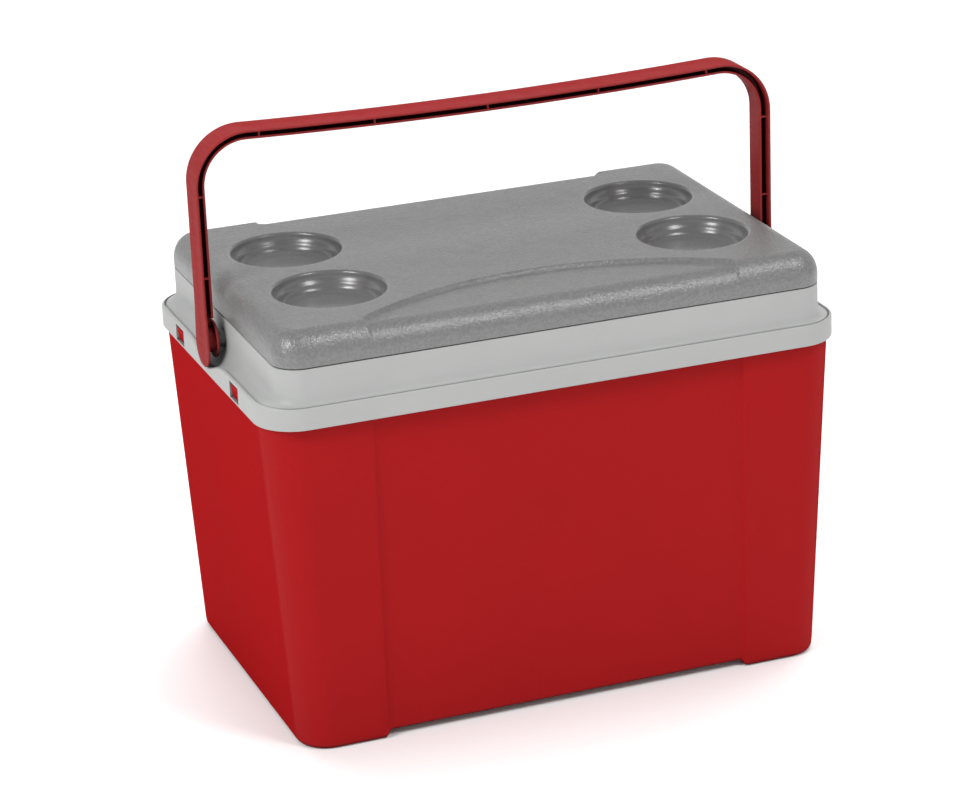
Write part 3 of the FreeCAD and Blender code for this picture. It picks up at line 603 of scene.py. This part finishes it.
TOP_X, TOP_Y = LID_X - EDGE_IN, LID_Y - EDGE_IN
arch_points = []
for side in (-1, 1):
    for step in arch_steps:
        radius = ARCH_RADIUS - step
        for angle in np.radians(even(-38, 38, 121)):
            forward = ARCH_BACK + ARCH_RADIUS - radius * math.cos(angle)
            arch_points.append((radius * math.sin(angle), side * forward))
    for step in arch_steps:
        for y in even(118, 127.5, 6):
            for sx in (-1, 1):
                arch_points.append((sx * (ARCH_HALF - step), side * y))
grid_points = [(x, y) for x in even(-190, 190, 39) for y in even(-118, 118, 25)]


def on_top(point):
    """Whether a point is on the lid's flat top, clear of its edge, its corners and the cup recesses."""
    x, y = abs(point[0]), abs(point[1])
    in_corner = x > TOP_X - 8 and y > TOP_Y - 8
    clear = all(math.hypot(point[0] - cx, point[1] - cy) > CUP_RIM + 3.0 for cx, cy in cup_centres)
    return x < TOP_X - 1.5 and y < TOP_Y - 1.5 and clear and not in_corner


def near_arch(point):
    """Whether a point is close to the arched step, where the arch's own points are used instead."""
    reach = ARCH_RADIUS - math.hypot(point[0], abs(point[1]) - ARCH_BACK - ARCH_RADIUS)
    return -4.0 < reach < 8.0 and abs(point[0]) < 160


kept = [point for point in arch_points if on_top(point) and abs(point[0]) <= ARCH_HALF + 1.3]
kept += [point for point in grid_points if on_top(point) and not near_arch(point)]
# Rings of points just outside each hole and just inside the edge keep the triangles there small.
guards = []
for centre in cup_centres:
    guards += circle(centre, CUP_RIM + 1.2)
guards += [tuple(point[:2]) for point in lid_rim.ring(inset(BAND, EDGE_IN + 1.0), 0)]
holes = [(x, y, CUP_RIM, circle((x, y), CUP_RIM)) for x, y in cup_centres]
top_flat, top_faces = plan_fill(lid_rows[0], kept + guards, holes)
top_height = LID_TOP - arch_depth(top_flat[:, 0], top_flat[:, 1])
lid_parts.append((np.column_stack([top_flat, top_height]), top_faces, 0))

# (radius, drop) from a recess's rounded rim down its wall, past one shoulder, to the flat of the bowl.
cup_profile = [(CUP_RIM, 0.0), (44.2, -0.05), (43.6, -0.22), (43.05, -0.55), (42.6, -1.05), (42.3, -1.7),
               (42.1, -2.6), (41.8, -3.8), (41.3, -5.2), (40.6, -6.5), (39.8, -7.6), (39.1, -8.5),
               (38.65, -9.4), (38.3, -10.4), (37.8, -11.5), (37.1, -12.6), (36.1, -13.6), (34.8, -14.4),
               (33.3, -14.85), (31.5, -15.0), (20.0, -15.0), (9.0, -15.0), (2.0, -15.0)]
for centre in cup_centres:
    points, faces = turned([(r, LID_TOP + drop) for r, drop in cup_profile], centre, CUP_STEPS, cap_end=True)
    lid_parts.append((points, faces, 1))
lid_cover = make_mesh("lid_cover_skin", lid_parts, [lid_grained, lid_smooth], sharp=40.0)
place(lid_cover, "lid", "lid_grey", "lid_cover")


# ---- swing handle ---------------------------------------------------------------------------------------

CORNER, BAR_RADIUS, DEPTH, STRAP = 41.0, 4500.0, 8.1, 2.0
OUTER_HALF, INNER_HALF, WEB_HALF, RIB_HALF = 13.15, 9.4, 1.1, 0.8
TIP_RADIUS, TIP_CENTRE, INNER_END = 16.4, 281.5, 305.0
ARM_RIBS, BAR_RIBS, CORNER_STEPS = (336.0, 399.0), (-180.0, -90.0, 0.0, 90.0, 180.0), 22
CORNER_X, CORNER_Z = ARM_X - CORNER, HANDLE_TOP - CORNER
LEAN = math.asin(CORNER_X / (BAR_RADIUS + CORNER))
BAR_Z = CORNER_Z + (BAR_RADIUS + CORNER) * math.cos(LEAN)


def rounded(corners, steps=4):
    """A closed outline with each (x, y, radius) corner rounded."""
    points = []
    count = len(corners)
    for index, (x, y, radius) in enumerate(corners):
        here = np.array([x, y])
        back = np.array(corners[index - 1][:2]) - here
        ahead = np.array(corners[(index + 1) % count][:2]) - here
        back_length, ahead_length = np.linalg.norm(back), np.linalg.norm(ahead)
        reach = min(radius, back_length * 0.48, ahead_length * 0.48)
        if reach < 1e-6:
            points += [here] * (steps + 1)
            continue
        start, end = here + back / back_length * reach, here + ahead / ahead_length * reach
        for step in range(steps + 1):
            t = step / steps
            points.append((1 - t) ** 2 * start + 2 * t * (1 - t) * here + t * t * end)
    return np.array(points)


def handle_section(outer=OUTER_HALF, inner=INNER_HALF, web=WEB_HALF, depth=DEPTH, thin=0.0):
    """The H-shaped section: across it, and inwards from its outer face."""
    under, back = -STRAP + thin, -depth
    inner_top = min(-STRAP, back + STRAP) if depth > STRAP + 0.1 else -STRAP
    corner = 1.3
    return rounded([
        (-outer, -thin, corner), (outer, -thin, corner), (outer, under, 0.8), (web, -STRAP + thin, 1.2),
        (web, inner_top, 1.2), (inner, inner_top, 0.8), (inner, back, 0.9), (-inner, back, 0.9),
        (-inner, inner_top, 0.8), (-web, inner_top, 1.2), (-web, -STRAP + thin, 1.2), (-outer, under, 0.8),
    ])


def rib_stations(place):
    """Offsets along the handle with the web's half thickness, at a cross rib."""
    shape = [(-2.6, WEB_HALF), (-1.7, WEB_HALF + 0.15), (-1.15, WEB_HALF + 0.7), (-0.85, 2.9),
             (-RIB_HALF, 8.6), (-0.45, 9.1)]
    before = [(place + offset, web) for offset, web in shape]
    return before + [(place - offset, web) for offset, web in shape[::-1]]


def arm_stations():
    """(height, section) pairs up one arm from its tip."""
    stations = []
    thinned = [(4, 0.75), (9, 0.42), (15, 0.18), (22, 0.05)]
    for angle, thin in thinned + [(angle, 0) for angle in range(30, 91, 10)]:
        a = math.radians(angle)
        half = TIP_RADIUS * math.sin(a)
        core = min(0.4, half * 0.3)
        section = handle_section(half, core, core, STRAP, thin)
        stations.append((TIP_CENTRE - TIP_RADIUS * math.cos(a), section))

    def half_at(height):
        """Half the outer strap's width, which narrows above the tip."""
        return TIP_RADIUS + (OUTER_HALF - TIP_RADIUS) * smooth_step(height, TIP_CENTRE - 8, INNER_END + 14)

    stations.append((PIVOT_Z - 0.3, handle_section(half_at(PIVOT_Z), 0.4, 0.4, STRAP)))
    for height in (PIVOT_Z, 290.0, 294.0, 299.0, INNER_END - 0.6):
        stations.append((height, handle_section(half_at(height), WEB_HALF, WEB_HALF)))
    stations.append((INNER_END - 0.5, handle_section(half_at(INNER_END), INNER_HALF - 0.5)))
    for height in (INNER_END, 309.0, 314.0, 320.0, 328.0):
        stations.append((height, handle_section(half_at(height))))
    stations += [(height, handle_section(web=web)) for height, web in rib_stations(ARM_RIBS[0])]
    stations += [(height, handle_section()) for height in (350.0, 367.0, 384.0)]
    stations += [(height, handle_section(web=web)) for height, web in rib_stations(ARM_RIBS[1])]
    return stations


def handle_rings():
    """Sections of the whole handle, from the left tip up, along the bar and down to the right tip."""
    rings = []

    def add(x, z, normal, section):
        """Sets a section at a point of the outer face, its inward side against the normal."""
        along = np.column_stack([np.full(len(section), x), section[:, 0], np.full(len(section), z)])
        along[:, 0] += normal[0] * section[:, 1]
        along[:, 2] += normal[1] * section[:, 1]
        rings.append(along)

    arm = arm_stations()
    for height, section in arm:
        add(-ARM_X, height, (-1.0, 0.0), section)
    turn = math.pi / 2 + LEAN
    corner_angles = [turn * step / CORNER_STEPS for step in range(CORNER_STEPS + 1)]
    for angle in corner_angles:
        normal = (-math.cos(angle), math.sin(angle))
        add(-CORNER_X + CORNER * normal[0], CORNER_Z + CORNER * normal[1], normal, handle_section())
    plain = [(x, WEB_HALF) for x in mirrored([15, 30, 50, 70, 110, 130, 150, 170])]
    ribbed = [pair for rib in BAR_RIBS for pair in rib_stations(rib)]
    for x, web in sorted(plain + ribbed, key=lambda pair: pair[0]):
        z = BAR_Z - math.sqrt(BAR_RADIUS ** 2 - x ** 2)
        add(x, z, (-x / BAR_RADIUS, (BAR_Z - z) / BAR_RADIUS), handle_section(web=web))
    for angle in corner_angles[::-1]:
        normal = (math.cos(angle), math.sin(angle))
        add(CORNER_X + CORNER * normal[0], CORNER_Z + CORNER * normal[1], normal, handle_section())
    for height, section in arm[::-1]:
        add(ARM_X, height, (1.0, 0.0), section)
    return rings


rings = handle_rings()
handle_points, handle_faces = stack(rings)
section_size = len(rings[0])
handle_faces.append(tuple(range(section_size)))
handle_faces.append(tuple(range(len(handle_points) - section_size, len(handle_points))))
handle_parts = [(handle_points, handle_faces, 0)]
EYE_BORE, EYE_OUT, FLANGE_RADIUS, FLANGE = 7.05, 10.05, 14.5, 2.2
for sign in (-1, 1):
    near, far = sign * (ARM_X - DEPTH - FLANGE), sign * (ARM_X - STRAP + 0.3)
    step = near + sign * FLANGE
    eye = [(EYE_OUT, far), (EYE_OUT, step + sign * 0.6), (EYE_OUT + 0.5, step), (FLANGE_RADIUS - 0.4, step),
           (FLANGE_RADIUS, step - sign * 0.4), (FLANGE_RADIUS, near + sign * 0.5),
           (FLANGE_RADIUS - 0.5, near), (EYE_BORE + 0.4, near), (EYE_BORE, near + sign * 0.4),
           (EYE_BORE, far)]
    points, faces = turned(eye + [eye[0]], (0.0, PIVOT_Z), 48, axis="x")
    handle_parts.append((points, faces, 0))
handle = make_mesh("handle_bail", handle_parts, [handle_red], sharp=38.0)
place(handle, "handle", "handle_red", "bail_handle")


# ---- camera, floor and light ----------------------------------------------------------------------------

AZIMUTH, ELEVATION, ROLL = math.radians(-20.133), math.radians(20.491), math.radians(-2.265)
DISTANCE, AIM_HEIGHT, SHIFT_RIGHT, SHIFT_UP, LENS = 2.6673, 0.18208, 0.00475, -0.01336, 125.4

back = Vector((math.sin(AZIMUTH) * math.cos(ELEVATION), -math.cos(AZIMUTH) * math.cos(ELEVATION),
               math.sin(ELEVATION)))
right = Vector((math.cos(AZIMUTH), math.sin(AZIMUTH), 0))
up = back.cross(right)
rolled_right = right * math.cos(ROLL) + up * math.sin(ROLL)
rolled_up = up * math.cos(ROLL) - right * math.sin(ROLL)
camera_data = bpy.data.cameras.new("camera")
camera_data.lens = LENS
camera_data.sensor_width = 36.0
camera = bpy.data.objects.new("camera", camera_data)
bpy.context.scene.collection.objects.link(camera)
eye_point = Vector((0, 0, AIM_HEIGHT)) + back * DISTANCE - rolled_right * SHIFT_RIGHT - rolled_up * SHIFT_UP
turned_axes = Matrix((rolled_right, rolled_up, back)).transposed().to_4x4()
camera.matrix_world = Matrix.Translation(eye_point) @ turned_axes
bpy.context.scene.camera = camera

floor_mesh = bpy.data.meshes.new("floor")
floor_build = bmesh.new()
bmesh.ops.create_grid(floor_build, x_segments=8, y_segments=8, size=12.0)
floor_build.to_mesh(floor_mesh)
floor_build.free()
floor = bpy.data.objects.new("floor", floor_mesh)
bpy.context.scene.collection.objects.link(floor)
floor_finish = bpy.data.materials.new("floor_pale")
floor_finish.use_nodes = True
floor_shader = floor_finish.node_tree.nodes["Principled BSDF"]
floor_shader.inputs["Base Color"].default_value = (0.93, 0.93, 0.93, 1)
floor_shader.inputs["Roughness"].default_value = 0.9
floor_shader.inputs["Specular IOR Level"].default_value = 0.1
floor_mesh.materials.append(floor_finish)

LIGHT_AIM = 0.22


def softbox(name, azimuth, elevation, distance, size, size_y, power):
    """A rectangular soft light that faces the chest from an azimuth and elevation in degrees."""
    data = bpy.data.lights.new(name, "AREA")
    data.shape = "RECTANGLE"
    data.size = size
    data.size_y = size_y
    data.energy = power
    a, e = math.radians(azimuth), math.radians(elevation)
    direction = Vector((math.sin(a) * math.cos(e), -math.cos(a) * math.cos(e), math.sin(e)))
    item = bpy.data.objects.new(name, data)
    item.location = Vector((0, 0, LIGHT_AIM)) + direction * distance
    item.rotation_mode = "QUATERNION"
    item.rotation_quaternion = direction.to_track_quat("Z", "Y")
    bpy.context.scene.collection.objects.link(item)


softbox("right_light", azimuth=29, elevation=50, distance=2.4, size=0.6, size_y=0.8, power=21)
softbox("left_light", azimuth=-68, elevation=38, distance=2.2, size=0.6, size_y=0.6, power=24)

sun_data = bpy.data.lights.new("top_light", "SUN")
sun_data.energy = 2.7
sun_data.angle = math.radians(60)
sun = bpy.data.objects.new("top_light", sun_data)
sun.rotation_mode = "QUATERNION"
sun.rotation_quaternion = Vector((0.25, 0.50, 1.0)).to_track_quat("Z", "Y")
sun.visible_glossy = False
bpy.context.scene.collection.objects.link(sun)

world = bpy.data.worlds.new("studio")
bpy.context.scene.world = world
world.use_nodes = True
world_nodes, world_links = world.node_tree.nodes, world.node_tree.links
world_nodes.clear()
world_output = world_nodes.new("ShaderNodeOutputWorld")
background = world_nodes.new("ShaderNodeBackground")
background.inputs["Strength"].default_value = 1.0
sky_coords = world_nodes.new("ShaderNodeTexCoord")
sky_parts = world_nodes.new("ShaderNodeSeparateXYZ")
sky_ramp = world_nodes.new("ShaderNodeValToRGB")
# Brightness of the surroundings by height, 0 at the horizon and below, 1 straight up.
sky_levels = ((0.0, 0.48), (0.2, 0.60), (0.34, 1.35), (0.50, 0.28), (1.0, 0.20))
for _ in sky_levels[2:]:
    sky_ramp.color_ramp.elements.new(0.5)
for element, (height, level) in zip(sky_ramp.color_ramp.elements, sky_levels):
    element.position = height
    element.color = (level, level, level, 1)
world_links.new(sky_coords.outputs["Generated"], sky_parts.inputs["Vector"])
world_links.new(sky_parts.outputs["Z"], sky_ramp.inputs["Fac"])
world_links.new(sky_ramp.outputs["Color"], background.inputs["Color"])
world_links.new(background.outputs["Background"], world_output.inputs["Surface"])
bpy.context.scene.view_settings.view_transform = "Standard"
